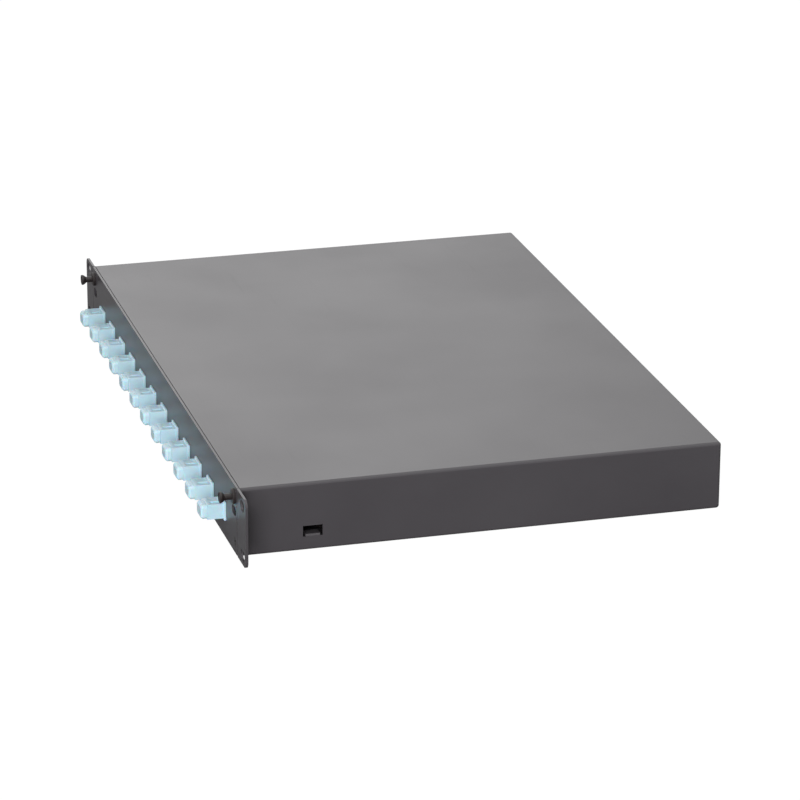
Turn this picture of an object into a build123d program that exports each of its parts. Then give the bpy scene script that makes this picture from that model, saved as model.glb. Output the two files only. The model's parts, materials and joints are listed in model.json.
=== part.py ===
from build123d import *
import os

os.makedirs("parts", exist_ok=True)

# One-unit, 19 inch fibre distribution panel with a pull-out drawer.
# Origin: centre of the four rack slots, on the back face of the rack ears.
# +X right, +Y towards the back of the rack, +Z up. Millimetres.

# Overall sizes
rack_width = 482.6
ear_reach = 21.3
panel_height = 43.6
body_width = rack_width - 2 * ear_reach
body_depth = 304.5
sheet = 1.5
bend_radius = 2.0
overrun = 5.0
tiny = 0.05

# Rack slots
rack_slot_inset = 8.75
rack_span_x = rack_width - 2 * rack_slot_inset
rack_span_z = 31.75
rack_slot_length = 10.0
rack_slot_height = 6.8
ear_corner = 5.0
ear_bend_radius = 1.0

# Chassis
lip_width = 12.0
seam_gap = 0.4
base_sheet = 1.2
base_side_gap = 0.6
bottom = -panel_height / 2
top = panel_height / 2
wall_inside = body_width / 2 - sheet
roof_inside = top - sheet
base_bottom = bottom + sheet
base_top = base_bottom + base_sheet

# Drawer stops, lanced inwards from both side walls
stop_y = 44.9
stop_opening_width = 12.3
stop_opening_height = 7.0
stop_opening_foot = 8.8
stop_tab_width = 9.0
stop_tab_reach = 5.0
stop_tab_bend = 1.3
stop_foot = bottom + stop_opening_foot

# Cable entries in the rear wall
entry_side_inset = 32.0
entry_spacing = 38.0
entry_outer_x = body_width / 2 - entry_side_inset
entry_inner_x = entry_outer_x - entry_spacing
entry_hole_diameter = 20.5
entry_height = 0.0

# Small countersunk screws
screw_diameter = 3.0
screw_head_diameter = 5.5
screw_head_height = 1.25
screw_clearance = 0.05
hex_recess_radius = 0.95
hex_recess_depth = 0.8
base_screw_end_inset = 18.0
rear_screw_side_inset = 140.0
rear_screw_x = body_width / 2 - rear_screw_side_inset

# Drawer
plate_end_gap = 0.3
plate_corner = 0.6
tray_sheet = 1.2
tray_side_gap = 0.8
tray_rear_gap = 8.0
tray_length = body_depth - sheet - tray_rear_gap
tray_held_length = 65.0
drawer_travel = tray_length - tray_held_length
tray_wall_height = 21.0
tray_front_wall_height = 6.7
tray_rear_wall_height = 9.0
tray_bend = 1.6
glide_gap = 0.3
glide_thickness = 0.8
glide_diameter = 12.0
glide_side_inset = 30.0
glide_front_inset = 25.0
stop_slot_clearance = 1.0
tray_half_width = wall_inside - tray_side_gap
tray_bottom = base_top + glide_gap + glide_thickness
tray_floor = tray_bottom + tray_sheet
tray_wall_corner = 8.0
tray_notch_corner = 1.5

# Front plate
plate_half_width = wall_inside - plate_end_gap
plate_screw_side_inset = 7.0
plate_screw_x = body_width / 2 - plate_screw_side_inset
plate_screw_height = 7.6
plate_screw_length = 3.6
side_slot_side_inset = 9.0
side_slot_x = body_width / 2 - side_slot_side_inset
side_slot_height = 26.8
side_slot_length = 10.0
side_slot_width = 6.0

# Push-in latches
latch_side_inset = 7.7
latch_x = body_width / 2 - latch_side_inset
latch_height = 36.4
latch_z = bottom + latch_height
grommet_flange_diameter = 9.4
grommet_flange_thickness = 1.8
grommet_flange_edge = 0.6
grommet_barrel_diameter = 6.2
grommet_leg_diameter = 5.6
grommet_bore_diameter = 4.16
grommet_leg_reach = 8.0
grommet_leg_tip = 0.5
grommet_slit = 0.9
latch_hole_clearance = 0.15
plunger_diameter = 4.0
plunger_head_diameter = 7.0
plunger_head_thickness = 2.8
plunger_rim_thickness = 1.1
plunger_collar_diameter = 4.8
plunger_pull_gap = 4.7
plunger_tip_reach = 2.4
plunger_tip_chamfer = 0.5
bracket_width = 14.0
bracket_height = 12.0
bracket_leg = 16.0
bracket_roof_gap = 0.6
bracket_bend = 1.2

# Duplex adapters
adapter_count = 12
adapter_side_inset = 36.85
adapter_pitch = (body_width - 2 * adapter_side_inset) / (adapter_count - 1)
adapter_height = 18.0
adapter_z = bottom + adapter_height
adapter_body_width = 13.0
adapter_body_height = 9.5
adapter_front_reach = 11.6
adapter_rear_reach = 15.0
adapter_flange_width = 14.8
adapter_flange_height = 12.0
adapter_flange_thickness = 1.4
cutout_clearance = 0.1
port_spacing = 6.25
port_size = 4.9
port_drop = 0.6
port_key_width = 2.6
port_key_height = 1.3
holder_length = 2.4
holder_side_gap = 0.02
sleeve_diameter = 2.5
sleeve_inner_diameter = 1.26
sleeve_seat_gap = 0.02
sleeve_length = 10.0
cap_width = 12.6
cap_height = 8.8
cap_thickness = 3.8
cap_corner = 2.2
cap_edge = 1.2
cap_seat_gap = 0.05
cap_prong_clearance = 0.2
cap_prong_length = 6.4
cap_prong_wall = 0.7
cap_prong_tip = 0.5
clip_sheet = 0.4
clip_side_gap = 0.03
clip_leg_length = 6.4
clip_start = 0.3
clip_length = 6.0
clip_foot = 1.6

# Splice cassette
cassette_rear_inset = 90.0
cassette_y = tray_length - cassette_rear_inset
cassette_width = 168.0
cassette_length = 104.0
cassette_corner = 26.0
cassette_wall = 1.5
cassette_floor = 1.5
cassette_depth = 9.0
cassette_gate_width = 12.0
cassette_gate_x = 74.0
cassette_spool_x = 48.0
cassette_spool_radius = 19.0
cassette_spool_wall = 1.6
cassette_lid_thickness = 1.4
cassette_lid_rim = 0.6
cassette_lid_gap = 0.2
cassette_lid_notch = 16.0
comb_width = 26.0
comb_length = 38.0
comb_base = 1.2
comb_fin_height = 5.0
comb_fin_thickness = 1.0
comb_fin_count = 7
comb_side = 26.0
stud_diameter = 4.0
stud_clearance = 0.1
stud_top_reach = 5.6
thumb_nut_diameter = 13.0
thumb_nut_thickness = 4.4
thumb_nut_flute_radius = 1.0
thumb_nut_flutes = 12
thumb_nut_chamfer = 0.5

# Fibre guide rings
ring_side_inset = 34.0
ring_x = body_width / 2 - ring_side_inset
ring_y = 60.0
ring_width = 24.0
ring_height = 26.0
ring_corner = 6.0
ring_wall = 2.2
ring_length = 9.0
ring_mouth = 2.5
ring_pad_width = 26.0
ring_pad_length = 14.0
ring_pad_thickness = 1.6
ring_pad_corner = 2.0

# Cable anchors behind the splice cassette
anchor_side_inset = 70.0
anchor_x = body_width / 2 - anchor_side_inset
anchor_rear_inset = 23.0
anchor_y = tray_length - anchor_rear_inset
anchor_width = 22.0
anchor_length = 16.0
anchor_sheet = 1.2
anchor_height = 13.0
anchor_head_width = 22.0
anchor_neck_width = 11.0
anchor_head_height = 4.5
anchor_corner = 1.0

# Rear fittings
rubber_outer_diameter = 27.0
rubber_bore_diameter = 14.0
rubber_lip = 2.6
rubber_round = 0.9
groove_clearance = 0.1
plug_head_diameter = 25.0
plug_head_thickness = 2.2
plug_head_round = 1.2
plug_barrel_reach = 8.0
plug_barrel_wall = 1.3
plug_rib = 0.35
plug_rib_length = 1.6
earth_height = 12.0
earth_diameter = 5.0
earth_reach = 11.0
earth_collar_diameter = 9.0
earth_collar_thickness = 1.0
washer_diameter = 10.0
washer_thickness = 1.0
earth_nut_flats = 8.0
earth_nut_thickness = 4.0
earth_clearance = 0.1


def save(piece, name):
    """Labels a finished piece and writes it under its own name."""
    piece.label = name
    export_step(piece, f"parts/{name}.step")


# Places shared by several pieces
adapter_xs = [(i - (adapter_count - 1) / 2) * adapter_pitch for i in range(adapter_count)]
lip_screw_x = wall_inside - lip_width / 2
rear_lip_screw_y = body_depth - sheet - lip_width / 2
side_screw_ys = (base_screw_end_inset, body_depth / 2, body_depth - sheet - base_screw_end_inset)
base_screw_points = [(s * lip_screw_x, y) for s in (-1, 1) for y in side_screw_ys]
base_screw_points += [(s * rear_screw_x, rear_lip_screw_y) for s in (-1, 1)]
plate_screw_z = bottom + plate_screw_height
plate_screw_points = [(s * plate_screw_x, plate_screw_z) for s in (-1, 1)]
entry_points = [(s * x, entry_height) for s in (-1, 1) for x in (entry_outer_x, entry_inner_x)]
rear_plane = Plane.XZ.offset(-body_depth)
underside = Plane(origin=(0, 0, bottom), x_dir=(1, 0, 0), z_dir=(0, 0, -1))
plate_face = Plane.XZ.offset(sheet)

# Folded chassis sheet: roof, side walls, rear wall and bottom lips, with the rack ears
with BuildPart() as chassis_sheet:
    with BuildSketch(Plane.XY.offset(bottom)):
        Rectangle(body_width, body_depth, align=(Align.CENTER, Align.MIN))
    extrude(amount=panel_height)
    long_folds = chassis_sheet.edges().filter_by(Axis.Y)
    rear_folds = chassis_sheet.faces().sort_by(Axis.Y)[-1].edges()
    fillet(long_folds + rear_folds, bend_radius)
    offset(amount=-sheet, openings=chassis_sheet.faces().sort_by(Axis.Y)[0])
    # the floor is open inside the lips
    with BuildSketch(Plane.XY.offset(bottom + sheet)):
        with Locations((0, -overrun)):
            Rectangle(
                2 * (wall_inside - lip_width),
                overrun + body_depth - sheet - lip_width,
                align=(Align.CENTER, Align.MIN),
            )
    extrude(amount=-(sheet + overrun), mode=Mode.SUBTRACT)
    # roof and lips stop just behind the front plate
    with BuildSketch(Plane.XZ.offset(-seam_gap)):
        Rectangle(2 * wall_inside, panel_height + 2 * overrun)
    extrude(amount=overrun, mode=Mode.SUBTRACT)
    # rack ears, bent outwards from the side walls
    for side in (-1, 1):
        with BuildSketch(Plane.XZ) as ear:
            with Locations((side * (wall_inside + rack_width / 2) / 2, 0)):
                Rectangle(rack_width / 2 - wall_inside, panel_height)
            fillet(ear.vertices().sort_by(Axis.X, reverse=side > 0)[0:2], ear_corner)
        extrude(amount=sheet)
    ear_folds = chassis_sheet.edges().filter_by(Axis.Z).group_by(Axis.Y)[0]
    fillet(ear_folds.filter_by(lambda e: abs(e.center().X) < wall_inside + tiny), ear_bend_radius)
    with BuildSketch(Plane.XZ):
        with GridLocations(rack_span_x, rack_span_z, 2, 2):
            SlotOverall(rack_slot_length, rack_slot_height)
    extrude(amount=sheet + overrun, both=True, mode=Mode.SUBTRACT)
    # drawer stops: an opening with a tab folded inwards from its lower edge
    with BuildSketch(Plane.YZ):
        with Locations((stop_y, stop_foot)):
            Rectangle(stop_opening_width, stop_opening_height, align=(Align.CENTER, Align.MIN))
    extrude(amount=rack_width, both=True, mode=Mode.SUBTRACT)
    for side in (-1, 1):
        with BuildSketch(Plane.XZ.offset(-(stop_y + stop_tab_width / 2))) as tab:
            with Locations((side * body_width / 2, stop_foot)):
                Rectangle(
                    sheet + stop_tab_reach,
                    sheet,
                    align=(Align.MAX if side > 0 else Align.MIN, Align.MIN),
                )
            fillet(tab.vertices().group_by(Axis.Y)[-1].sort_by(Axis.X, reverse=side > 0)[0], stop_tab_bend)
        extrude(amount=stop_tab_width)
    # cable entries
    with BuildSketch(rear_plane):
        with Locations(*entry_points):
            Circle(entry_hole_diameter / 2)
    extrude(amount=sheet + overrun, both=True, mode=Mode.SUBTRACT)
    # countersunk holes in the lips
    with Locations(underside):
        with Locations(*[(x, -y) for x, y in base_screw_points]):
            CounterSinkHole(
                screw_diameter / 2 + screw_clearance,
                screw_head_diameter / 2 + screw_clearance,
                depth=sheet + screw_clearance,
            )

# The sheet is kept as its flat panels, which meet where the folds begin
fold_top = top - bend_radius
fold_bottom = bottom + bend_radius
fold_rear = body_depth - bend_radius


def cut_panel(sheet_part, name, *stretches):
    """Saves what lies inside the stretches, each given by two corners."""
    with BuildPart() as kept:
        for low, high in stretches:
            width, depth, height = (b - a for a, b in zip(low, high))
            with BuildSketch(Plane.XY.offset(low[2])):
                with Locations((low[0], low[1])):
                    Rectangle(width, depth, align=(Align.MIN, Align.MIN))
            extrude(amount=height)
    with BuildPart() as panel:
        add(sheet_part)
        add(kept.part, mode=Mode.INTERSECT)
    save(panel.part, name)


reach = rack_width / 2 + overrun
rear_end = body_depth + overrun
ear_fold = body_width / 2 + ear_bend_radius
folded = chassis_sheet.part
cut_panel(folded, "roof_panel", ((-reach, 0, fold_top), (reach, rear_end, top + overrun)))
cut_panel(folded, "base_frame", ((-reach, 0, bottom - overrun), (reach, rear_end, fold_bottom)))
cut_panel(folded, "rear_wall", ((-reach, fold_rear, fold_bottom), (reach, rear_end, fold_top)))
cut_panel(
    folded,
    "side_wall_left",
    ((-reach, 0, fold_bottom), (-wall_inside, fold_rear, fold_top)),
    ((-ear_fold, -overrun, -panel_height), (0, 0, panel_height)),
)
cut_panel(
    folded,
    "side_wall_right",
    ((wall_inside, 0, fold_bottom), (reach, fold_rear, fold_top)),
    ((0, -overrun, -panel_height), (ear_fold, 0, panel_height)),
)
cut_panel(
    folded, "stop_tabs", ((-wall_inside, 0, fold_bottom), (wall_inside, fold_rear, fold_top))
)
cut_panel(folded, "rack_ear_left", ((-reach, -overrun, -panel_height), (-ear_fold, 0, panel_height)))
cut_panel(folded, "rack_ear_right", ((ear_fold, -overrun, -panel_height), (reach, 0, panel_height)))

# Base plate, laid on the lips from inside
with BuildPart() as base_plate:
    with BuildSketch(Plane.XY.offset(base_bottom)):
        with Locations((0, seam_gap)):
            Rectangle(
                2 * (wall_inside - base_side_gap),
                body_depth - sheet - base_side_gap - seam_gap,
                align=(Align.CENTER, Align.MIN),
            )
        with Locations(*base_screw_points):
            Circle(screw_diameter / 2 + screw_clearance, mode=Mode.SUBTRACT)
    extrude(amount=base_sheet)
save(base_plate.part, "base_plate")

# One countersunk screw, head down at the origin, with a hex socket
with BuildPart() as base_screw:
    with BuildSketch(Plane.XZ):
        with BuildLine():
            Polyline(
                (0, 0),
                (screw_head_diameter / 2, 0),
                (screw_diameter / 2, screw_head_height),
                (screw_diameter / 2, sheet + base_sheet),
                (0, sheet + base_sheet),
                close=True,
            )
        make_face()
    revolve(axis=Axis.Z)
    with BuildSketch(Plane.XY):
        RegularPolygon(hex_recess_radius, 6)
    extrude(amount=hex_recess_depth, mode=Mode.SUBTRACT)

with BuildPart() as base_screws:
    with Locations(*[(x, y, bottom) for x, y in base_screw_points]):
        add(base_screw.part)
save(base_screws.part, "base_screws")

# Latch brackets welded inside the side walls, behind the front plate
bracket_top = roof_inside - bracket_roof_gap
brackets = []
for side in (-1, 1):
    with BuildPart() as latch_bracket:
        with BuildSketch(Plane.XY.offset(bracket_top - bracket_height)) as angle:
            with Locations((side * wall_inside, seam_gap)):
                Rectangle(
                    bracket_width,
                    sheet,
                    align=(Align.MAX if side > 0 else Align.MIN, Align.MIN),
                )
                Rectangle(
                    sheet,
                    bracket_leg,
                    align=(Align.MAX if side > 0 else Align.MIN, Align.MIN),
                )
            outer_corner = angle.vertices().group_by(Axis.Y)[0].sort_by(Axis.X, reverse=side > 0)[0]
            fillet(outer_corner, bracket_bend)
        extrude(amount=bracket_height)
        with BuildSketch(Plane.XZ):
            with Locations((side * latch_x, latch_z)):
                Circle(grommet_barrel_diameter / 2 + latch_hole_clearance)
        extrude(amount=-overrun, mode=Mode.SUBTRACT)
    brackets.append(latch_bracket.part)

with BuildPart() as latch_brackets:
    add(brackets)
save(latch_brackets.part, "latch_brackets")

# Rubber edge grommets in the outer cable entries
rubber_profile_depth = sheet / 2 + rubber_lip
for side, name in ((-1, "left"), (1, "right")):
    with BuildPart() as entry_grommet:
        with BuildSketch(rear_plane.offset(rubber_profile_depth + sheet / 2)):
            with Locations((side * entry_outer_x, entry_height)):
                Circle(rubber_outer_diameter / 2)
        extrude(amount=-2 * rubber_profile_depth)
        chamfer(entry_grommet.edges().filter_by(GeomType.CIRCLE), rubber_round)
        with BuildSketch(rear_plane.offset(sheet + groove_clearance)):
            with Locations((side * entry_outer_x, entry_height)):
                Circle(rubber_outer_diameter / 2 + overrun)
                Circle(entry_hole_diameter / 2 - groove_clearance, mode=Mode.SUBTRACT)
        extrude(amount=-(sheet + 2 * groove_clearance), mode=Mode.SUBTRACT)
        with BuildSketch(rear_plane):
            with Locations((side * entry_outer_x, entry_height)):
                Circle(rubber_bore_diameter / 2)
        extrude(amount=sheet + overrun, both=True, mode=Mode.SUBTRACT)
    save(entry_grommet.part, f"entry_grommet_{name}")

# Snap-in plugs in the inner cable entries
plug_barrel_radius = entry_hole_diameter / 2 - groove_clearance
with BuildPart() as blanking_plug:
    with BuildSketch(Plane.YZ):
        with BuildLine():
            Polyline(
                (plug_head_thickness, 0),
                (plug_head_thickness, plug_head_diameter / 2),
                (0, plug_head_diameter / 2),
                (0, plug_barrel_radius),
                (-(sheet + groove_clearance), plug_barrel_radius),
                (-(sheet + groove_clearance + plug_rib), plug_barrel_radius + plug_rib),
                (-(sheet + groove_clearance + plug_rib_length), plug_barrel_radius),
                (-plug_barrel_reach, plug_barrel_radius - plug_rib),
                (-plug_barrel_reach, plug_barrel_radius - plug_barrel_wall),
                (plug_head_thickness - plug_barrel_wall, plug_barrel_radius - plug_barrel_wall),
                (plug_head_thickness - plug_barrel_wall, 0),
                close=True,
            )
        make_face()
    revolve(axis=Axis.Y)
    head_rim = blanking_plug.edges().filter_by(GeomType.CIRCLE).sort_by(Axis.Y)[-1]
    chamfer(head_rim, plug_head_round / 2, plug_head_round)

with BuildPart() as blanking_plugs:
    with Locations(
        (-entry_inner_x, body_depth, entry_height), (entry_inner_x, body_depth, entry_height)
    ):
        add(blanking_plug.part)
save(blanking_plugs.part, "blanking_plugs")

# Earth stud with washer and nut on the rear wall
earth_point = (0, bottom + earth_height)
with BuildPart() as earth_stud:
    with BuildSketch(rear_plane):
        with Locations(earth_point):
            Circle(earth_collar_diameter / 2)
    extrude(amount=-earth_collar_thickness)
    with BuildSketch(rear_plane):
        with Locations(earth_point):
            Circle(earth_diameter / 2)
    extrude(amount=-earth_reach)
    chamfer(earth_stud.faces().sort_by(Axis.Y)[-1].edges(), thumb_nut_chamfer)
save(earth_stud.part, "earth_stud")

with BuildPart() as earth_washer:
    with BuildSketch(rear_plane.offset(-earth_collar_thickness)):
        with Locations(earth_point):
            Circle(washer_diameter / 2)
            Circle(earth_diameter / 2 + earth_clearance, mode=Mode.SUBTRACT)
    extrude(amount=-washer_thickness)
save(earth_washer.part, "earth_washer")

with BuildPart() as earth_nut:
    with BuildSketch(rear_plane.offset(-(earth_collar_thickness + washer_thickness))):
        with Locations(earth_point):
            RegularPolygon(earth_nut_flats / 2, 6, major_radius=False)
            Circle(earth_diameter / 2 + earth_clearance, mode=Mode.SUBTRACT)
    extrude(amount=-earth_nut_thickness)
save(earth_nut.part, "earth_nut")

# Front plate of the drawer
with BuildPart() as front_plate:
    with BuildSketch(Plane.XZ):
        RectangleRounded(2 * plate_half_width, panel_height, plate_corner)
        with Locations(*[(x, adapter_z) for x in adapter_xs]):
            Rectangle(
                adapter_body_width + 2 * cutout_clearance,
                adapter_body_height + 2 * cutout_clearance,
                mode=Mode.SUBTRACT,
            )
        for side in (-1, 1):
            with Locations((side * latch_x, latch_z)):
                Circle(grommet_barrel_diameter / 2 + latch_hole_clearance, mode=Mode.SUBTRACT)
            with Locations((side * side_slot_x, bottom + side_slot_height)):
                SlotOverall(side_slot_length, side_slot_width, mode=Mode.SUBTRACT)
    extrude(amount=sheet)
    with Locations(plate_face):
        with Locations(*plate_screw_points):
            CounterSinkHole(
                screw_diameter / 2 + screw_clearance,
                screw_head_diameter / 2 + screw_clearance,
                depth=sheet + screw_clearance,
            )
save(front_plate.part, "front_plate")

# Drawer tray sheet: a folded pan with a low front flange and a low rear wall
tray_wall_top = tray_bottom + tray_wall_height
stop_slot_front = stop_y - stop_tab_width / 2 - stop_slot_clearance
stop_slot_rear = stop_y + stop_tab_width / 2 + drawer_travel + stop_slot_clearance
with BuildPart() as tray:
    with BuildSketch(Plane.XY.offset(tray_bottom)):
        Rectangle(2 * tray_half_width, tray_length, align=(Align.CENTER, Align.MIN))
    extrude(amount=tray_wall_height)
    fillet(tray.edges().group_by(Axis.Z)[0], tray_bend)
    offset(amount=-tray_sheet, openings=tray.faces().sort_by(Axis.Z)[-1])
    # the front flange is low, so that it clears the adapters
    with BuildSketch(Plane.XZ.offset(overrun)):
        with Locations((0, tray_bottom + tray_front_wall_height)):
            Rectangle(
                2 * (tray_half_width - tray_sheet),
                tray_wall_height,
                align=(Align.CENTER, Align.MIN),
            )
    extrude(amount=-(overrun + tray_sheet), mode=Mode.SUBTRACT)
    with BuildSketch(Plane.XZ.offset(-(tray_length + overrun))):
        with Locations((0, tray_bottom + tray_rear_wall_height)):
            Rectangle(
                2 * (tray_half_width - tray_sheet),
                tray_wall_height,
                align=(Align.CENTER, Align.MIN),
            )
    extrude(amount=overrun + tray_sheet, mode=Mode.SUBTRACT)
    # between the front gussets and the rear stops the side walls pass below the stop tabs
    with BuildSketch(Plane.YZ) as notch:
        with Locations(((stop_slot_front + stop_slot_rear) / 2, stop_foot - stop_slot_clearance)):
            Rectangle(
                stop_slot_rear - stop_slot_front,
                tray_wall_height,
                align=(Align.CENTER, Align.MIN),
            )
        fillet(notch.vertices().group_by(Axis.Y)[0], tray_notch_corner)
    extrude(amount=body_width, both=True, mode=Mode.SUBTRACT)
    # the rear ends of the side walls are cut off at a slant
    rear_top_edges = tray.edges().filter_by(Axis.X).group_by(Axis.Z)[-1].group_by(Axis.Y)[-1]
    chamfer(rear_top_edges, tray_wall_corner)
    # holes for the plate screws
    with BuildSketch(Plane.XZ):
        with Locations(*plate_screw_points):
            Circle(screw_diameter / 2 + screw_clearance)
    extrude(amount=-overrun, mode=Mode.SUBTRACT)

# The tray is kept as its floor, its two sides and its two ends, which meet where the folds begin
side_fold = tray_half_width - tray_bend
rear_fold = tray_length - tray_bend
low_z = tray_bottom - overrun
high_z = tray_wall_top + overrun
cut_panel(tray.part, "drawer_tray", ((-side_fold, tray_bend, low_z), (side_fold, rear_fold, high_z)))
cut_panel(
    tray.part,
    "tray_sides",
    ((-reach, -overrun, low_z), (-side_fold, rear_end, high_z)),
    ((side_fold, -overrun, low_z), (reach, rear_end, high_z)),
)
cut_panel(
    tray.part,
    "tray_ends",
    ((-side_fold, -overrun, low_z), (side_fold, tray_bend, high_z)),
    ((-side_fold, rear_fold, low_z), (side_fold, rear_end, high_z)),
)

# Glide pads under the tray
glide_points = [
    (s * (tray_half_width - glide_side_inset), y)
    for s in (-1, 1)
    for y in (glide_front_inset, tray_length / 2, tray_length - glide_front_inset)
]
with BuildPart() as glide_pads:
    with BuildSketch(Plane.XY.offset(tray_bottom - glide_thickness)):
        with Locations(*glide_points):
            Circle(glide_diameter / 2)
    extrude(amount=glide_thickness)
save(glide_pads.part, "glide_pads")

# Screws that hold the plate to the tray
with BuildPart() as plate_screw:
    with BuildSketch(Plane.XZ):
        with BuildLine():
            Polyline(
                (0, 0),
                (screw_head_diameter / 2, 0),
                (screw_diameter / 2, screw_head_height),
                (screw_diameter / 2, plate_screw_length),
                (0, plate_screw_length),
                close=True,
            )
        make_face()
    revolve(axis=Axis.Z)
    with BuildSketch(Plane.XY):
        RegularPolygon(hex_recess_radius, 6)
    extrude(amount=hex_recess_depth, mode=Mode.SUBTRACT)

with BuildPart() as plate_screws:
    with Locations(*[Location((x, -sheet, z), (-90, 0, 0)) for x, z in plate_screw_points]):
        add(plate_screw.part)
save(plate_screws.part, "plate_screws")

# Push-in latches: a slit grommet in the plate and a spool-headed plunger, drawn pulled out
grommet_face = sheet + grommet_flange_thickness
grommets = []
for side, name in ((-1, "left"), (1, "right")):
    with BuildPart() as latch_grommet:
        with BuildSketch(plate_face):
            with Locations((side * latch_x, latch_z)):
                Circle(grommet_flange_diameter / 2)
        extrude(amount=grommet_flange_thickness)
        chamfer(latch_grommet.faces().sort_by(Axis.Y)[0].edges(), grommet_flange_edge)
        with BuildSketch(plate_face):
            with Locations((side * latch_x, latch_z)):
                Circle(grommet_barrel_diameter / 2)
        extrude(amount=-(sheet + seam_gap / 2))
        with BuildSketch(plate_face):
            with Locations((side * latch_x, latch_z)):
                Circle(grommet_leg_diameter / 2)
        extrude(amount=-(sheet + grommet_leg_reach))
        chamfer(latch_grommet.faces().sort_by(Axis.Y)[-1].edges(), grommet_leg_tip)
        with BuildSketch(plate_face.offset(grommet_flange_thickness)):
            with Locations((side * latch_x, latch_z)):
                Circle(grommet_bore_diameter / 2)
        extrude(amount=-(grommet_face + grommet_leg_reach), mode=Mode.SUBTRACT)
        with BuildSketch(Plane.XZ.offset(-seam_gap)):
            with Locations((side * latch_x, latch_z)):
                Rectangle(grommet_slit, grommet_flange_diameter)
                Rectangle(grommet_flange_diameter, grommet_slit)
        extrude(amount=-grommet_leg_reach, mode=Mode.SUBTRACT)
    grommets.append(latch_grommet.part)

    plunger_head_back = grommet_face + plunger_pull_gap
    with BuildPart() as latch_plunger:
        with BuildSketch(Plane.XY):
            with BuildLine():
                Polyline(
                    (0, plunger_tip_reach),
                    (plunger_diameter / 2 - plunger_tip_chamfer, plunger_tip_reach),
                    (plunger_diameter / 2, plunger_tip_reach - plunger_tip_chamfer),
                    (plunger_diameter / 2, -plunger_head_back),
                    (plunger_collar_diameter / 2, -plunger_head_back),
                    (
                        plunger_head_diameter / 2,
                        -(plunger_head_back + plunger_head_thickness - plunger_rim_thickness),
                    ),
                    (plunger_head_diameter / 2, -(plunger_head_back + plunger_head_thickness)),
                    (0, -(plunger_head_back + plunger_head_thickness)),
                    close=True,
                )
            make_face()
        revolve(axis=Axis.Y)
        chamfer(latch_plunger.faces().sort_by(Axis.Y)[0].edges(), plunger_tip_chamfer)
    save(Pos(side * latch_x, 0, latch_z) * latch_plunger.part, f"latch_plunger_{name}")

with BuildPart() as latch_grommets:
    add(grommets)
save(latch_grommets.part, "latch_grommets")

# Duplex adapter: a moulded body with two ports at each end, centred on its cut-out
port_center = -port_drop
with BuildPart() as adapter:
    with BuildSketch(plate_face.offset(adapter_front_reach)):
        Rectangle(adapter_body_width, adapter_body_height)
    extrude(amount=-(adapter_front_reach + sheet + adapter_rear_reach))
    with BuildSketch(plate_face):
        Rectangle(adapter_flange_width, adapter_flange_height)
    extrude(amount=adapter_flange_thickness)
    # two square channels with a groove for the plug latch, right through the body
    with BuildSketch(plate_face.offset(adapter_front_reach)):
        with Locations((-port_spacing / 2, port_center), (port_spacing / 2, port_center)):
            Rectangle(port_size, port_size)
        with Locations(
            (-port_spacing / 2, port_center + port_size / 2),
            (port_spacing / 2, port_center + port_size / 2),
        ):
            Rectangle(port_key_width, port_key_height, align=(Align.CENTER, Align.MIN))
    extrude(amount=-(adapter_front_reach + sheet + adapter_rear_reach), mode=Mode.SUBTRACT)

for index, x in enumerate(adapter_xs):
    with BuildPart() as placed_adapter:
        with Locations((x, 0, adapter_z)):
            add(adapter.part)
    save(placed_adapter.part, f"adapter_{index + 1:02d}")

# Duplex dust cap: a rounded head over the end of the body and a hollow prong in each port
cap_seat = sheet + adapter_front_reach + cap_seat_gap
prong_size = port_size - 2 * cap_prong_clearance
with BuildPart() as cap:
    with BuildSketch(Plane.XZ.offset(cap_seat)):
        RectangleRounded(cap_width, cap_height, cap_corner)
    extrude(amount=cap_thickness)
    chamfer(cap.faces().sort_by(Axis.Y)[0].edges(), cap_edge)
    with BuildSketch(Plane.XZ.offset(cap_seat)):
        with Locations((-port_spacing / 2, port_center), (port_spacing / 2, port_center)):
            Rectangle(prong_size, prong_size)
    extrude(amount=-cap_prong_length)
    chamfer(cap.faces().sort_by(Axis.Y)[-2:].edges(), cap_prong_tip)
    with BuildSketch(Plane.XZ.offset(cap_seat)):
        with Locations((-port_spacing / 2, port_center), (port_spacing / 2, port_center)):
            Rectangle(prong_size - 2 * cap_prong_wall, prong_size - 2 * cap_prong_wall)
    extrude(amount=-cap_prong_length, mode=Mode.SUBTRACT)

for index, x in enumerate(adapter_xs):
    with BuildPart() as placed_cap:
        with Locations((x, 0, adapter_z)):
            add(cap.part)
    save(placed_cap.part, f"dust_cap_{index + 1:02d}")

# Sleeve holders, a block halfway along each channel, with an alignment sleeve through each
sleeve_points = [
    (x + s * port_spacing / 2, 0, adapter_z + port_center) for x in adapter_xs for s in (-1, 1)
]
with BuildPart() as holder:
    with BuildSketch(Plane.XZ.offset(holder_length / 2)):
        Rectangle(port_size - 2 * holder_side_gap, port_size - 2 * holder_side_gap)
        Circle(sleeve_diameter / 2 + sleeve_seat_gap, mode=Mode.SUBTRACT)
    extrude(amount=-holder_length)

with BuildPart() as sleeve_holders:
    with Locations(*sleeve_points):
        add(holder.part)
save(sleeve_holders.part, "sleeve_holders")

with BuildPart() as sleeve:
    with BuildSketch(Plane.XZ.offset(sleeve_length / 2)):
        Circle(sleeve_diameter / 2)
        Circle(sleeve_inner_diameter / 2, mode=Mode.SUBTRACT)
    extrude(amount=-sleeve_length)

with BuildPart() as alignment_sleeves:
    with Locations(*sleeve_points):
        add(sleeve.part)
save(alignment_sleeves.part, "alignment_sleeves")

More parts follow.
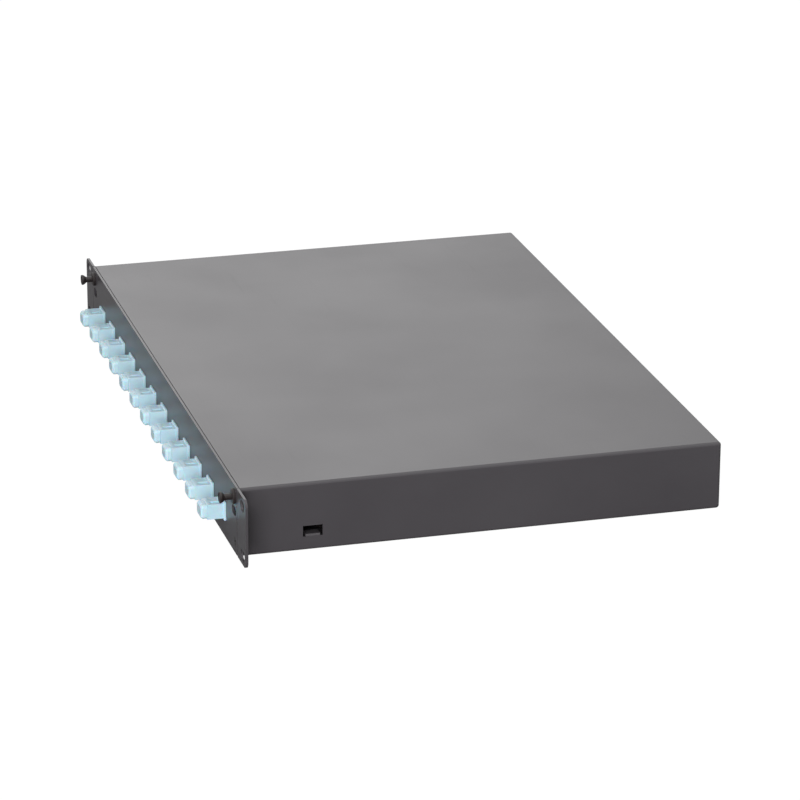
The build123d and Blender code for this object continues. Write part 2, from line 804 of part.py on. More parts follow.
# Spring clips that hold the adapters against the back of the plate
clip_inside_width = adapter_body_width / 2 + clip_side_gap
clip_inside_top = adapter_body_height / 2 + clip_side_gap
with BuildPart() as clip:
    with BuildSketch(Plane.XZ.offset(-clip_start)):
        with Locations((0, clip_inside_top + clip_sheet)):
            Rectangle(
                2 * (clip_inside_width + clip_sheet),
                clip_leg_length,
                align=(Align.CENTER, Align.MAX),
            )
        with Locations((0, clip_inside_top)):
            Rectangle(
                2 * clip_inside_width,
                clip_leg_length,
                align=(Align.CENTER, Align.MAX),
                mode=Mode.SUBTRACT,
            )
    extrude(amount=-clip_length)
    with BuildSketch(Plane.XZ.offset(-clip_start)):
        for side in (-1, 1):
            with Locations((side * clip_inside_width, clip_inside_top + clip_sheet)):
                Rectangle(
                    clip_sheet + clip_foot,
                    clip_leg_length,
                    align=(Align.MIN if side > 0 else Align.MAX, Align.MAX),
                )
    extrude(amount=-clip_sheet)

with BuildPart() as adapter_clips:
    with Locations(*[(x, 0, adapter_z) for x in adapter_xs]):
        add(clip.part)
save(adapter_clips.part, "adapter_clips")

# Splice cassette base: a shallow tray with two fibre spools and four gates
cassette_bottom = tray_floor
with BuildPart() as cassette_base:
    with BuildSketch(Plane.XY.offset(cassette_bottom)):
        with Locations((0, cassette_y)):
            RectangleRounded(cassette_width, cassette_length, cassette_corner)
    extrude(amount=cassette_depth)
    offset(amount=-cassette_wall, openings=cassette_base.faces().sort_by(Axis.Z)[-1])
    with BuildSketch(Plane.XY.offset(cassette_bottom + cassette_floor)):
        with Locations((-cassette_gate_x, cassette_y), (cassette_gate_x, cassette_y)):
            Rectangle(cassette_gate_width, cassette_length + 2 * overrun)
    extrude(amount=cassette_depth, mode=Mode.SUBTRACT)
    with BuildSketch(Plane.XY.offset(cassette_bottom + cassette_floor / 2)):
        with Locations((-cassette_spool_x, cassette_y), (cassette_spool_x, cassette_y)):
            Circle(cassette_spool_radius)
            Circle(cassette_spool_radius - cassette_spool_wall, mode=Mode.SUBTRACT)
    extrude(amount=cassette_depth - cassette_floor / 2 - cassette_lid_gap)
    with BuildSketch(Plane.XY.offset(cassette_bottom)):
        with Locations((0, cassette_y)):
            Circle(stud_diameter / 2 + stud_clearance)
    extrude(amount=cassette_depth, mode=Mode.SUBTRACT)
save(cassette_base.part, "cassette_base")

# Splice holders: rows of fins that grip the splice protectors
fin_pitch = comb_width / (comb_fin_count - 1)
with BuildPart() as splice_combs:
    with BuildSketch(Plane.XY.offset(cassette_bottom + cassette_floor)):
        with Locations((0, cassette_y - comb_side), (0, cassette_y + comb_side)):
            Rectangle(comb_length, comb_width + comb_fin_thickness)
    extrude(amount=comb_base)
    with BuildSketch(Plane.XY.offset(cassette_bottom + cassette_floor + comb_base)):
        with Locations((0, cassette_y - comb_side), (0, cassette_y + comb_side)):
            with GridLocations(comb_length, fin_pitch, 1, comb_fin_count):
                Rectangle(comb_length, comb_fin_thickness)
    extrude(amount=comb_fin_height)
save(splice_combs.part, "splice_combs")

# Clear lid of the cassette, with a rim inside the wall
lid_bottom = cassette_bottom + cassette_depth
with BuildPart() as cassette_lid:
    with BuildSketch(Plane.XY.offset(lid_bottom)):
        with Locations((0, cassette_y)):
            RectangleRounded(cassette_width, cassette_length, cassette_corner)
            for side in (-1, 1):
                with Locations((0, side * cassette_length / 2)):
                    Circle(cassette_lid_notch / 2, mode=Mode.SUBTRACT)
            Circle(stud_diameter / 2 + stud_clearance, mode=Mode.SUBTRACT)
    extrude(amount=cassette_lid_thickness)
    chamfer(cassette_lid.faces().sort_by(Axis.Z)[-1].outer_wire().edges(), cassette_lid_rim)
save(cassette_lid.part, "cassette_lid")

# Stud and thumb nut that hold the cassette
with BuildPart() as cassette_stud:
    with BuildSketch(Plane.XY.offset(tray_floor)):
        with Locations((0, cassette_y)):
            Circle(stud_diameter / 2)
    extrude(amount=cassette_depth + cassette_lid_thickness + stud_top_reach)
    chamfer(cassette_stud.faces().sort_by(Axis.Z)[-1].edges(), thumb_nut_chamfer)
save(cassette_stud.part, "cassette_stud")

with BuildPart() as thumb_nut:
    with BuildSketch(Plane.XY.offset(lid_bottom + cassette_lid_thickness)):
        with Locations((0, cassette_y)):
            Circle(thumb_nut_diameter / 2)
            with PolarLocations(thumb_nut_diameter / 2, thumb_nut_flutes):
                Circle(thumb_nut_flute_radius, mode=Mode.SUBTRACT)
            Circle(stud_diameter / 2 + stud_clearance, mode=Mode.SUBTRACT)
    extrude(amount=thumb_nut_thickness)
save(thumb_nut.part, "cassette_thumb_nut")

# Fibre guide rings, open at the top, on pads on the tray floor
ring_bottom = tray_floor + ring_pad_thickness
rings = []
for side in (-1, 1):
    with BuildPart() as guide_ring:
        with BuildSketch(Plane.XY.offset(tray_floor)):
            with Locations((side * ring_x, ring_y)):
                RectangleRounded(ring_pad_width, ring_pad_length, ring_pad_corner)
        extrude(amount=ring_pad_thickness)
        with BuildSketch(Plane.XZ.offset(-(ring_y + ring_length / 2))):
            with Locations((side * ring_x, ring_bottom + ring_height / 2)):
                RectangleRounded(ring_width, ring_height, ring_corner)
                RectangleRounded(
                    ring_width - 2 * ring_wall,
                    ring_height - 2 * ring_wall,
                    ring_corner - ring_wall,
                    mode=Mode.SUBTRACT,
                )
            with Locations((side * ring_x, ring_bottom + ring_height)):
                Rectangle(ring_mouth, 2 * (ring_wall + overrun), mode=Mode.SUBTRACT)
        extrude(amount=ring_length)
    rings.append(guide_ring.part)

with BuildPart() as guide_rings:
    add(rings)
save(guide_rings.part, "guide_rings")

# Cable anchors: folded brackets with a T head for the cable ties
with BuildPart() as cable_anchors:
    for side in (-1, 1):
        with BuildSketch(Plane.XY.offset(tray_floor)):
            with Locations((side * anchor_x, anchor_y)):
                Rectangle(anchor_width, anchor_length)
        extrude(amount=anchor_sheet)
        with BuildSketch(Plane.XZ.offset(-(anchor_y + anchor_length / 2))) as upright:
            with Locations((side * anchor_x, tray_floor)):
                Rectangle(anchor_neck_width, anchor_height, align=(Align.CENTER, Align.MIN))
            with Locations((side * anchor_x, tray_floor + anchor_height)):
                Rectangle(anchor_head_width, anchor_head_height, align=(Align.CENTER, Align.MAX))
            fillet(upright.vertices().group_by(Axis.Y)[-1], anchor_corner)
        extrude(amount=anchor_sheet)
save(cable_anchors.part, "cable_anchors")
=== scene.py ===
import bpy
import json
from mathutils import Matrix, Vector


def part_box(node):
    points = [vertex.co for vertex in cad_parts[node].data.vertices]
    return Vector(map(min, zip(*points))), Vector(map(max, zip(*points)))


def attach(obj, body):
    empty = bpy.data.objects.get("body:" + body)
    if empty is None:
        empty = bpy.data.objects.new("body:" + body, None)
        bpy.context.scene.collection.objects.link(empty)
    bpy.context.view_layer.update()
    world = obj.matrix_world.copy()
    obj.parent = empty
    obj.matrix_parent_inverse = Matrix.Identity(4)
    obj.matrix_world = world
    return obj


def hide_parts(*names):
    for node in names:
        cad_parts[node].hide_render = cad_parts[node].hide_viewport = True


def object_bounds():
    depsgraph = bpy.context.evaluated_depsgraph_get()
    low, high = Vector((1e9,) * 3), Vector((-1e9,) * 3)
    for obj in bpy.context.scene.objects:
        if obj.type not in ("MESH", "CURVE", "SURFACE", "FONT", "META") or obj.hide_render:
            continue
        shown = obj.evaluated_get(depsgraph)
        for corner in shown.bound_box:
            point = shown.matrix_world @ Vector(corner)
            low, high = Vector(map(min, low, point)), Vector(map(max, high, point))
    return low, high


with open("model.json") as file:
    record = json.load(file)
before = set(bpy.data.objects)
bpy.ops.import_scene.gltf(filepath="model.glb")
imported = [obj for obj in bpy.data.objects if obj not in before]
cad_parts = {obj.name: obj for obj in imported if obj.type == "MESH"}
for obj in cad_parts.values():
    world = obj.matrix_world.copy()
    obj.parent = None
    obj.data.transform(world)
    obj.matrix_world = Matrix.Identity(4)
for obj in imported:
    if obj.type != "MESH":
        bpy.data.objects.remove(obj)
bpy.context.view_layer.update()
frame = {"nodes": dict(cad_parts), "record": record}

import json
import math

import bpy
from mathutils import Matrix, Vector

nodes = frame["nodes"]
bodyOfNode = {node: body for body, group in frame["record"]["behaviour"]["bodies"].items() for node in group}
slotOfNode = {row["node"]: row["material_slot"] for row in frame["record"]["subparts"]}
mm = 0.001
print("frame loaded:", len(nodes), "nodes")


# helpers

def clearSelection():
    if bpy.context.object and bpy.context.object.mode != "OBJECT":
        bpy.ops.object.mode_set(mode="OBJECT")
    bpy.ops.object.select_all(action="DESELECT")


def makeActive(piece):
    clearSelection()
    piece.select_set(True)
    bpy.context.view_layer.objects.active = piece


def settle(piece):
    # the place goes into the mesh, so the object ends at the origin
    makeActive(piece)
    bpy.ops.object.transform_apply(location=True, rotation=True, scale=True)


def pickFaces(piece, test):
    # selects the faces whose centre and normal pass the test
    bpy.ops.object.mode_set(mode="OBJECT")
    mesh = piece.data
    for vertex in mesh.vertices:
        vertex.select = False
    for edge in mesh.edges:
        edge.select = False
    for face in mesh.polygons:
        face.select = test(face.center, face.normal)
    bpy.ops.object.mode_set(mode="EDIT")
    bpy.ops.mesh.select_mode(type="FACE")


def applyModifiers(piece):
    makeActive(piece)
    for modifier in list(piece.modifiers):
        bpy.ops.object.modifier_apply(modifier=modifier.name)


def dress(piece, node):
    piece.data.materials.clear()
    piece.data.materials.append(finishes[slotOfNode[node]])
    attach(piece, bodyOfNode[node])
    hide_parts(node)


# shared effects

def newGroup(name, inputs, outputs):
    group = bpy.data.node_groups.new(name, "ShaderNodeTree")
    for label, kind, value in inputs:
        socket = group.interface.new_socket(label, in_out="INPUT", socket_type=kind)
        if value is not None:
            socket.default_value = value
    for label, kind in outputs:
        group.interface.new_socket(label, in_out="OUTPUT", socket_type=kind)
    start = group.nodes.new("NodeGroupInput")
    end = group.nodes.new("NodeGroupOutput")
    return group, start, end


def addNoise(group, vector, scale, detail, rough=0.5):
    noise = group.nodes.new("ShaderNodeTexNoise")
    noise.inputs["Detail"].default_value = detail
    noise.inputs["Roughness"].default_value = rough
    group.links.new(vector, noise.inputs["Vector"])
    if isinstance(scale, (int, float)):
        noise.inputs["Scale"].default_value = scale
    else:
        group.links.new(scale, noise.inputs["Scale"])
    return noise.outputs["Fac"]


def addRange(group, value, low, high, toLow, toHigh):
    remap = group.nodes.new("ShaderNodeMapRange")
    group.links.new(value, remap.inputs["Value"])
    for label, given in (("From Min", low), ("From Max", high), ("To Min", toLow), ("To Max", toHigh)):
        remap.inputs[label].default_value = given
    return remap.outputs["Result"]


def addMath(group, operation, first, second):
    node = group.nodes.new("ShaderNodeMath")
    node.operation = operation
    for index, given in enumerate((first, second)):
        if isinstance(given, (int, float)):
            node.inputs[index].default_value = given
        else:
            group.links.new(given, node.inputs[index])
    return node.outputs[0]


powderLook = {"peelScale": 420.0, "peelShare": 0.6, "gritScale": 2600.0, "gritRough": 0.65, "gritShare": 0.4,
              "speckleLow": 0.56, "speckleHigh": 0.74}


def makePowderGroup(look):
    # orange peel and fine grit of a baked powder coat
    group, start, end = newGroup(
        "powderCoatGrain",
        [("Vector", "NodeSocketVector", None), ("Peel Scale", "NodeSocketFloat", look["peelScale"]),
         ("Grit Scale", "NodeSocketFloat", look["gritScale"])],
        [("Height", "NodeSocketFloat"), ("Speckle", "NodeSocketFloat")])
    peel = addNoise(group, start.outputs["Vector"], start.outputs["Peel Scale"], 2.0)
    grit = addNoise(group, start.outputs["Vector"], start.outputs["Grit Scale"], 3.0, look["gritRough"])
    broad = addMath(group, "MULTIPLY", peel, look["peelShare"])
    height = addMath(group, "ADD", broad, addMath(group, "MULTIPLY", grit, look["gritShare"]))
    group.links.new(height, end.inputs["Height"])
    speckle = addRange(group, grit, look["speckleLow"], look["speckleHigh"], 0.0, 1.0)
    group.links.new(speckle, end.inputs["Speckle"])
    return group


handlingLook = {"patchScale": 9.0, "patchRough": 0.55, "patchLow": 0.3, "patchHigh": 0.7,
                "markStretch": (4.0, 90.0, 40.0), "markTurn": 0.35, "markScale": 3.0, "markRough": 0.7,
                "markLow": 0.62, "markHigh": 0.8}


def makeHandlingGroup(look):
    # broad, faint patches where hands and cloths have passed
    group, start, end = newGroup(
        "handlingPatches",
        [("Vector", "NodeSocketVector", None), ("Patch Scale", "NodeSocketFloat", look["patchScale"])],
        [("Patches", "NodeSocketFloat"), ("Fine Marks", "NodeSocketFloat")])
    patches = addNoise(group, start.outputs["Vector"], start.outputs["Patch Scale"], 4.0, look["patchRough"])
    stretch = group.nodes.new("ShaderNodeMapping")
    stretch.inputs["Scale"].default_value = look["markStretch"]
    stretch.inputs["Rotation"].default_value = (0.0, 0.0, look["markTurn"])
    group.links.new(start.outputs["Vector"], stretch.inputs["Vector"])
    marks = addNoise(group, stretch.outputs["Vector"], look["markScale"], 5.0, look["markRough"])
    broad = addRange(group, patches, look["patchLow"], look["patchHigh"], 0.0, 1.0)
    fine = addRange(group, marks, look["markLow"], look["markHigh"], 0.0, 1.0)
    group.links.new(broad, end.inputs["Patches"])
    group.links.new(fine, end.inputs["Fine Marks"])
    return group


mouldLook = {"skinScale": 3200.0, "skinRough": 0.6, "flowScale": 120.0, "flowLow": 0.3, "flowHigh": 0.7}


def makeMouldGroup(look):
    # the fine spark-eroded skin of a moulding, with slow tone changes from the melt
    group, start, end = newGroup(
        "mouldedSkin",
        [("Vector", "NodeSocketVector", None), ("Skin Scale", "NodeSocketFloat", look["skinScale"]),
         ("Flow Scale", "NodeSocketFloat", look["flowScale"])],
        [("Height", "NodeSocketFloat"), ("Flow", "NodeSocketFloat")])
    skin = addNoise(group, start.outputs["Vector"], start.outputs["Skin Scale"], 2.0, look["skinRough"])
    flow = addNoise(group, start.outputs["Vector"], start.outputs["Flow Scale"], 3.0)
    group.links.new(skin, end.inputs["Height"])
    slow = addRange(group, flow, look["flowLow"], look["flowHigh"], 0.0, 1.0)
    group.links.new(slow, end.inputs["Flow"])
    return group


platedLook = {"lineScale": 60.0, "lineRough": 0.7, "lineStretch": (2.0, 60.0, 60.0), "cloudScale": 220.0,
              "cloudLow": 0.35, "cloudHigh": 0.65}


def makePlatedGroup(look):
    # drawn and plated metal: long fine lines over a cloudy bath tone
    group, start, end = newGroup(
        "platedLines",
        [("Vector", "NodeSocketVector", None), ("Line Scale", "NodeSocketFloat", look["lineScale"])],
        [("Height", "NodeSocketFloat"), ("Cloud", "NodeSocketFloat")])
    stretch = group.nodes.new("ShaderNodeMapping")
    stretch.inputs["Scale"].default_value = look["lineStretch"]
    group.links.new(start.outputs["Vector"], stretch.inputs["Vector"])
    lines = addNoise(group, stretch.outputs["Vector"], start.outputs["Line Scale"], 4.0, look["lineRough"])
    cloud = addNoise(group, start.outputs["Vector"], look["cloudScale"], 3.0)
    group.links.new(lines, end.inputs["Height"])
    bath = addRange(group, cloud, look["cloudLow"], look["cloudHigh"], 0.0, 1.0)
    group.links.new(bath, end.inputs["Cloud"])
    return group


effects = {"powder": makePowderGroup(powderLook), "handling": makeHandlingGroup(handlingLook),
           "mould": makeMouldGroup(mouldLook), "plated": makePlatedGroup(platedLook)}
print("effect groups made:", ", ".join(sorted(effects)))


# finishes

def newMaterial(name):
    material = bpy.data.materials.new(name)
    material.use_nodes = True
    tree = material.node_tree
    shader = tree.nodes["Principled BSDF"]
    place = tree.nodes.new("ShaderNodeTexCoord").outputs["Object"]
    return material, tree, shader, place


def addEffect(tree, effect, place):
    node = tree.nodes.new("ShaderNodeGroup")
    node.node_tree = effects[effect]
    tree.links.new(place, node.inputs["Vector"])
    return node.outputs


def mixColors(tree, factor, first, second):
    mix = tree.nodes.new("ShaderNodeMix")
    mix.data_type = "RGBA"
    tree.links.new(factor, mix.inputs["Factor"])
    for socket, given in ((mix.inputs[6], first), (mix.inputs[7], second)):
        if isinstance(given, tuple):
            socket.default_value = (*given, 1.0)
        else:
            tree.links.new(given, socket)
    return mix.outputs[2]


def addBump(tree, shader, height, strength, distance):
    bump = tree.nodes.new("ShaderNodeBump")
    bump.inputs["Strength"].default_value = strength
    bump.inputs["Distance"].default_value = distance
    tree.links.new(height, bump.inputs["Height"])
    tree.links.new(bump.outputs["Normal"], shader.inputs["Normal"])


paintLook = {"tone": (0.046, 0.042, 0.047), "thin": (0.055, 0.051, 0.056), "fleck": (0.075, 0.071, 0.077),
             "fleckShare": 0.35, "smooth": 0.30, "rough": 0.38, "markShare": 0.05, "bump": 0.18,
             "bumpDepth": 0.00005}


def makePanelPaint(look):
    material, tree, shader, place = newMaterial("panelPaint")
    grain = addEffect(tree, "powder", place)
    patches = addEffect(tree, "handling", place)
    tone = mixColors(tree, patches["Patches"], look["tone"], look["thin"])
    fleck = addMath(tree, "MULTIPLY", grain["Speckle"], look["fleckShare"])
    tree.links.new(mixColors(tree, fleck, tone, look["fleck"]), shader.inputs["Base Color"])
    dull = addRange(tree, patches["Patches"], 0.0, 1.0, look["smooth"], look["rough"])
    marks = addMath(tree, "MULTIPLY", patches["Fine Marks"], look["markShare"])
    tree.links.new(addMath(tree, "ADD", dull, marks), shader.inputs["Roughness"])
    addBump(tree, shader, grain["Height"], look["bump"], look["bumpDepth"])
    return material


def makeMoulded(name, tone, shade, smooth, rough, bump=0.15, depth=0.00003, **constants):
    material, tree, shader, place = newMaterial(name)
    skin = addEffect(tree, "mould", place)
    tree.links.new(mixColors(tree, skin["Flow"], tone, shade), shader.inputs["Base Color"])
    tree.links.new(addRange(tree, skin["Flow"], 0.0, 1.0, smooth, rough), shader.inputs["Roughness"])
    addBump(tree, shader, skin["Height"], bump, depth)
    for label, value in constants.items():
        shader.inputs[label.replace("_", " ")].default_value = value
    return material


def makeMetal(name, bright, dull, smooth, rough, bump=0.2, depth=0.00002):
    material, tree, shader, place = newMaterial(name)
    lines = addEffect(tree, "plated", place)
    tree.links.new(mixColors(tree, lines["Cloud"], bright, dull), shader.inputs["Base Color"])
    tree.links.new(addRange(tree, lines["Cloud"], 0.0, 1.0, smooth, rough), shader.inputs["Roughness"])
    shader.inputs["Metallic"].default_value = 1.0
    addBump(tree, shader, lines["Height"], bump, depth)
    return material


milky = {"Subsurface_Weight": 0.35, "Subsurface_Scale": 0.0015}
finishes = {
    "panel_paint": makePanelPaint(paintLook),
    "zinc_steel": makeMetal("zincPlate", (0.66, 0.67, 0.70), (0.52, 0.53, 0.55), 0.28, 0.42),
    "black_screw": makeMoulded("blackOxide", (0.022, 0.021, 0.022), (0.035, 0.033, 0.034), 0.35, 0.5),
    "spring_steel": makeMetal("springSteel", (0.60, 0.59, 0.57), (0.48, 0.47, 0.46), 0.22, 0.34),
    "brass": makeMetal("plainBrass", (0.78, 0.58, 0.27), (0.60, 0.43, 0.19), 0.25, 0.40),
    "grommet_rubber": makeMoulded("grommetRubber", (0.017, 0.017, 0.018), (0.028, 0.028, 0.029), 0.62, 0.78),
    "black_nylon": makeMoulded("blackNylon", (0.014, 0.010, 0.010), (0.022, 0.018, 0.018), 0.40, 0.52),
    "glide_nylon": makeMoulded("glideNylon", (0.78, 0.77, 0.72), (0.70, 0.69, 0.65), 0.4, 0.5, **milky),
    "adapter_aqua": makeMoulded("adapterAqua", (0.45, 0.64, 0.73), (0.50, 0.69, 0.78), 0.28, 0.38, **milky),
    "cap_plastic": makeMoulded("capMilky", (0.48, 0.68, 0.77), (0.53, 0.72, 0.80), 0.24, 0.36, **milky),
    "sleeve_ceramic": makeMoulded("sleeveCeramic", (0.86, 0.85, 0.81), (0.80, 0.79, 0.75), 0.12, 0.2),
    "cassette_plastic": makeMoulded("cassettePlastic", (0.036, 0.037, 0.040), (0.050, 0.051, 0.055),
                                    0.42, 0.55),
    "comb_plastic": makeMoulded("combPlastic", (0.80, 0.79, 0.75), (0.72, 0.71, 0.68), 0.45, 0.6, **milky),
    "clear_lid": makeMoulded("clearLid", (0.90, 0.93, 0.94), (0.86, 0.90, 0.92), 0.05, 0.12, bump=0.05,
                             Transmission_Weight=0.92, IOR=1.58),
}
print("finishes made:", len(finishes))


# sheet parts and mouldings: a copy of each CAD node with its edges broken

edgeLook = {"front_plate": 0.2, "base_plate": 0.15, "latch_bracket": 0.15,
            "entry_grommet": 0.3, "blanking_plug": 0.2, "earth": 0.15, "latch_grommet": 0.15,
            "adapter_clips": 0.05, "cassette_base": 0.2, "cassette_lid": 0.15,
            "cassette_thumb_nut": 0.15, "splice_comb": 0.1, "guide_ring": 0.3, "cable_anchor": 0.15}
edgeSteps = 2
edgeAngle = 40  # degrees, as are the other angles here
smoothAngle = 35
flatAngle = 0.5
mergeDistance = 0.002 * mm


def mergeFaces(piece):
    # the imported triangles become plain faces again
    makeActive(piece)
    bpy.ops.object.mode_set(mode="EDIT")
    bpy.ops.mesh.select_all(action="SELECT")
    bpy.ops.mesh.remove_doubles(threshold=mergeDistance)
    bpy.ops.mesh.dissolve_limited(angle_limit=math.radians(flatAngle))
    bpy.ops.object.mode_set(mode="OBJECT")


def cleanCopy(node, name):
    piece = bpy.data.objects.new(name, nodes[node].data.copy())
    bpy.context.scene.collection.objects.link(piece)
    mergeFaces(piece)
    return piece


def combine(piece, other, operation):
    # the other piece is used up
    makeActive(piece)
    work = piece.modifiers.new("combine", "BOOLEAN")
    work.operation = operation
    work.solver = "EXACT"
    work.object = other
    applyModifiers(piece)
    bpy.data.objects.remove(other)


def sinkInto(piece, tool):
    settle(tool)
    combine(piece, tool, "DIFFERENCE")


def shadeSmoothly(piece):
    # large faces rule the shading, so they stay even beside rounded edges
    makeActive(piece)
    bpy.ops.object.shade_smooth_by_angle(angle=math.radians(smoothAngle))
    even = piece.modifiers.new("evenShading", "WEIGHTED_NORMAL")
    even.keep_sharp = True
    applyModifiers(piece)


def roundEdges(piece, width, steps=edgeSteps, angle=edgeAngle):
    bevel = piece.modifiers.new("brokenEdge", "BEVEL")
    bevel.width = width * mm
    bevel.segments = steps
    bevel.limit_method = "ANGLE"
    bevel.angle_limit = math.radians(angle)
    applyModifiers(piece)
    shadeSmoothly(piece)


def breakEdges(node, width):
    piece = cleanCopy(node, node + "_skin")
    roundEdges(piece, width)
    dress(piece, node)


foldedSheets = {
    "folded_chassis": ("roof_panel", "side_wall_left", "side_wall_right", "rear_wall", "base_frame",
                       "rack_ear_left", "rack_ear_right", "stop_tabs"),
    "folded_tray": ("drawer_tray", "tray_sides", "tray_ends")}
foldedLook = {"edge": 0.25}


def weldSheet(name):
    # the panels are one sheet, so their copies are welded and the folds run on without a seam
    panels = foldedSheets[name]
    sheet = cleanCopy(panels[0], name)
    for node in panels[1:]:
        combine(sheet, cleanCopy(node, node + "_part"), "UNION")
    mergeFaces(sheet)
    roundEdges(sheet, foldedLook["edge"])
    dress(sheet, panels[0])
    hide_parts(*panels)


capLook = {"edge": 0.8, "dimpleRadius": 0.62, "dimpleDepth": 1.1, "across": 3.125, "upDown": 2.3,
           "turns": 16}


def makeCap(node):
    # two sink holes lie in the front of the cap before each prong
    low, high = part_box(node)
    middle = (low + high) / 2
    cap = cleanCopy(node, node + "_skin")
    roundEdges(cap, capLook["edge"])
    for across in (-1, 1):
        for upDown in (-1, 1):
            clearSelection()
            bpy.ops.mesh.primitive_cylinder_add(
                vertices=capLook["turns"], radius=capLook["dimpleRadius"] * mm,
                depth=2 * capLook["dimpleDepth"] * mm,
                location=(middle.x + across * capLook["across"] * mm, low.y,
                          middle.z + upDown * capLook["upDown"] * mm),
                rotation=(math.radians(90), 0, 0))
            sinkInto(cap, bpy.context.object)
    shadeSmoothly(cap)
    dress(cap, node)


adapterLook = {"edge": 0.35, "bodyTop": 4.75, "across": 3.125, "fromFront": 2.4, "recessWide": 4.4,
               "recessLong": 6.2, "recessDeep": 0.6}


def makeAdapter(node):
    # two latch recesses in the top of the front half, one above each channel
    low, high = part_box(node)
    middle = (low + high) / 2
    adapter = cleanCopy(node, node + "_skin")
    roundEdges(adapter, adapterLook["edge"])
    for across in (-1, 1):
        clearSelection()
        bpy.ops.mesh.primitive_cube_add(
            size=1, location=(middle.x + across * adapterLook["across"] * mm,
                              low.y + (adapterLook["fromFront"] + adapterLook["recessLong"] / 2) * mm,
                              middle.z + adapterLook["bodyTop"] * mm),
            scale=(adapterLook["recessWide"] * mm, adapterLook["recessLong"] * mm,
                   2 * adapterLook["recessDeep"] * mm))
        sinkInto(adapter, bpy.context.object)
    shadeSmoothly(adapter)
    dress(adapter, node)


def dressNodes():
    widths = sorted(edgeLook.items(), key=lambda row: -len(row[0]))
    welded = [node for panels in foldedSheets.values() for node in panels]
    for node in sorted(set(nodes) - set(welded)):
        match = [width for prefix, width in widths if node.startswith(prefix)]
        if match:
            breakEdges(node, match[0])
        elif node.startswith("adapter"):
            makeAdapter(node)
        elif node.startswith("dust_cap"):
            makeCap(node)
        elif nodes[node].material_slots:
            for row in nodes[node].material_slots:
                row.material = finishes[slotOfNode[node]]
        else:
            nodes[node].data.materials.append(finishes[slotOfNode[node]])
    for name in foldedSheets:
        weldSheet(name)


dressNodes()
print("nodes dressed")


# push-in knobs

knobLook = {"turns": 48, "stemRadius": 2.0, "flare": 2.8, "headRadius": 3.5, "rim": 1.1, "dishInset": 0.7,
            "dishDepth": 0.45, "dishTaper": 0.9, "buttonRadius": 1.3, "buttonLift": 0.3, "collarRadius": 2.4,
            "edge": 0.22, "edgeSteps": 3, "edgeAngle": 25}


def growTo(factor):
    bpy.ops.transform.resize(value=(factor, 1, factor))


def drawOut(distance):
    bpy.ops.mesh.extrude_region_move(TRANSFORM_OT_translate={"value": (0, distance * mm, 0)})


def makeKnob(side):
    node = "latch_plunger_" + side
    low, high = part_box(node)
    middle = (low + high) / 2
    front = low.y + knobLook["flare"] * mm
    clearSelection()
    bpy.ops.mesh.primitive_cylinder_add(
        vertices=knobLook["turns"], radius=knobLook["stemRadius"] * mm, depth=high.y - front,
        location=(middle.x, (front + high.y) / 2, middle.z), rotation=(math.radians(90), 0, 0))
    knob = bpy.context.object
    knob.name = "knob_" + side
    settle(knob)
    # the front end flares out to the rim, then dishes back in round a small button
    pickFaces(knob, lambda center, normal: normal.y < -0.9)
    drawOut(0)
    growTo(knobLook["collarRadius"] / knobLook["stemRadius"])
    drawOut(knobLook["rim"] - knobLook["flare"])
    growTo(knobLook["headRadius"] / knobLook["collarRadius"])
    drawOut(-knobLook["rim"])
    bpy.ops.mesh.inset(thickness=knobLook["dishInset"] * mm)
    drawOut(knobLook["dishDepth"])
    growTo(knobLook["dishTaper"])
    dishRadius = (knobLook["headRadius"] - knobLook["dishInset"]) * knobLook["dishTaper"]
    bpy.ops.mesh.inset(thickness=(dishRadius - knobLook["buttonRadius"]) * mm)
    drawOut(-knobLook["buttonLift"])
    bpy.ops.object.mode_set(mode="OBJECT")
    roundEdges(knob, knobLook["edge"], knobLook["edgeSteps"], knobLook["edgeAngle"])
    dress(knob, node)


for side in ("left", "right"):
    makeKnob(side)
print("knobs made")


# stage, light and camera

stageLook = {"half": 6.0, "drop": 0.05, "tone": (0.31, 0.31, 0.31), "rough": 0.9, "specular": 0.1,
             "glow": 1.17, "cameraShare": 0.84}


def makeStage():
    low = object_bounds()[0]
    clearSelection()
    bpy.ops.mesh.primitive_plane_add(
        size=2 * stageLook["half"], location=(0, 0, low.z - stageLook["drop"] * mm))
    floor = bpy.context.object
    floor.name = "floor"
    material, tree, shader = newMaterial("paleFloor")[:3]
    shader.inputs["Roughness"].default_value = stageLook["rough"]
    shader.inputs["Specular IOR Level"].default_value = stageLook["specular"]
    shader.inputs["Base Color"].default_value = (*stageLook["tone"], 1.0)
    glow = tree.nodes.new("ShaderNodeEmission")
    glow.inputs["Strength"].default_value = stageLook["glow"]
    rays = tree.nodes.new("ShaderNodeLightPath")
    share = addMath(tree, "MULTIPLY", rays.outputs["Is Camera Ray"], stageLook["cameraShare"])
    mix = tree.nodes.new("ShaderNodeMixShader")
    tree.links.new(share, mix.inputs["Fac"])
    tree.links.new(shader.outputs["BSDF"], mix.inputs[1])
    tree.links.new(glow.outputs["Emission"], mix.inputs[2])
    tree.links.new(mix.outputs["Shader"], tree.nodes["Material Output"].inputs["Surface"])
    floor.data.materials.append(material)


lightLook = {"worldStrength": 0.36, "worldTone": (1.0, 1.0, 1.0),
             "keyPower": 10.0, "keySize": 2.2, "keyPlace": (0.4, 0.4, 2.2),
             "frontPower": 83.0, "frontSize": 1.8, "frontPlace": (2.45, -1.2, 0.75),
             "backPower": 20.0, "backSize": 3.0, "backPlace": (-3.05, 0.05, 1.8)}


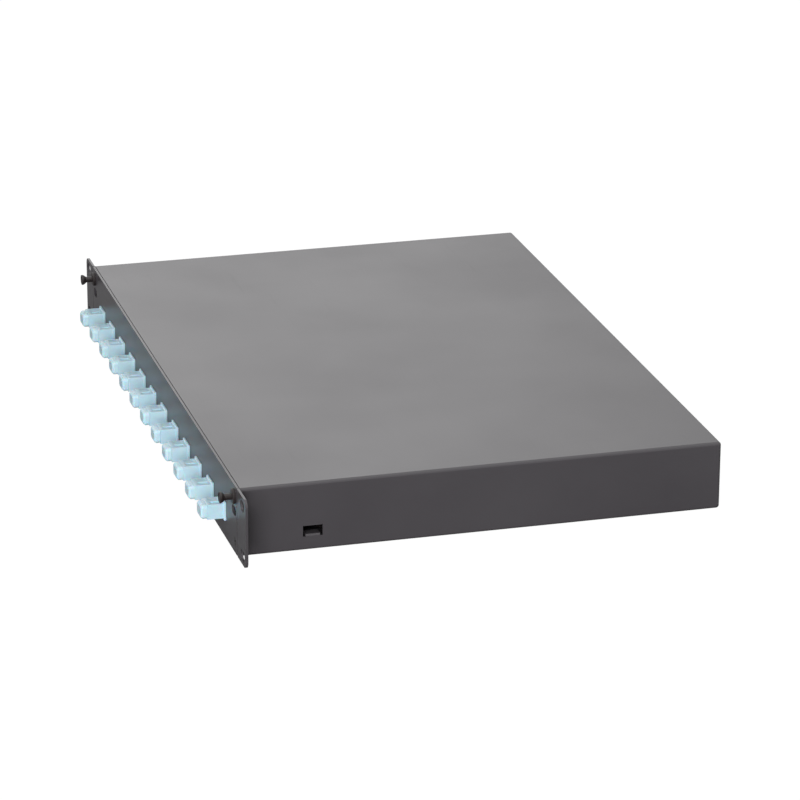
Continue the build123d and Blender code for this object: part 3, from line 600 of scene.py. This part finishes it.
def makeLight(name, place, size, power, mirrored=True):
    clearSelection()
    bpy.ops.object.light_add(type="AREA", location=place)
    lamp = bpy.context.object
    lamp.name = name
    lamp.data.shape = "DISK"
    lamp.data.size = size
    lamp.data.energy = power
    lamp.visible_glossy = mirrored
    lamp.rotation_euler = (-Vector(place)).to_track_quat("-Z", "Y").to_euler()


def makeWorld():
    world = bpy.data.worlds.new("paleRoom")
    bpy.context.scene.world = world
    world.use_nodes = True
    tree = world.node_tree
    back = tree.nodes["Background"]
    back.inputs["Color"].default_value = (*lightLook["worldTone"], 1.0)
    rays = tree.nodes.new("ShaderNodeLightPath")
    seen = addMath(tree, "MAXIMUM", rays.outputs["Is Camera Ray"], rays.outputs["Is Transmission Ray"])
    seen = addMath(tree, "MAXIMUM", seen, rays.outputs["Is Glossy Ray"])
    strength = addRange(tree, seen, 0.0, 1.0, lightLook["worldStrength"], 1.0)
    tree.links.new(strength, back.inputs["Strength"])


cameraLook = {"place": (2.31540, -0.48641, 0.86933), "yaw": 164.394, "pitch": -20.197, "roll": 0.2533,
              "lens": 174.64, "sensor": 36.0, "nearest": 0.05, "farthest": 50.0}


def makeCamera():
    clearSelection()
    bpy.ops.object.camera_add(location=cameraLook["place"])
    camera = bpy.context.object
    camera.name = "photoView"
    yaw, pitch, roll = (math.radians(cameraLook[key]) for key in ("yaw", "pitch", "roll"))
    ahead = Vector((math.cos(pitch) * math.cos(yaw), math.cos(pitch) * math.sin(yaw), math.sin(pitch)))
    right = ahead.cross(Vector((0, 0, 1))).normalized()
    up = right.cross(ahead)
    turnedRight = right * math.cos(roll) + up * math.sin(roll)
    turnedUp = up * math.cos(roll) - right * math.sin(roll)
    basis = Matrix((turnedRight, turnedUp, -ahead)).transposed()
    camera.rotation_euler = basis.to_euler()
    camera.data.lens = cameraLook["lens"]
    camera.data.sensor_width = cameraLook["sensor"]
    camera.data.clip_start = cameraLook["nearest"]
    camera.data.clip_end = cameraLook["farthest"]
    bpy.context.scene.camera = camera


makeStage()
makeWorld()
makeLight("overheadBox", lightLook["keyPlace"], lightLook["keySize"], lightLook["keyPower"])
makeLight("frontFill", lightLook["frontPlace"], lightLook["frontSize"], lightLook["frontPower"],
          mirrored=False)
makeLight("backBox", lightLook["backPlace"], lightLook["backSize"], lightLook["backPower"])
makeCamera()
bpy.context.scene.view_settings.view_transform = "Standard"
print("stage, lights and camera set")
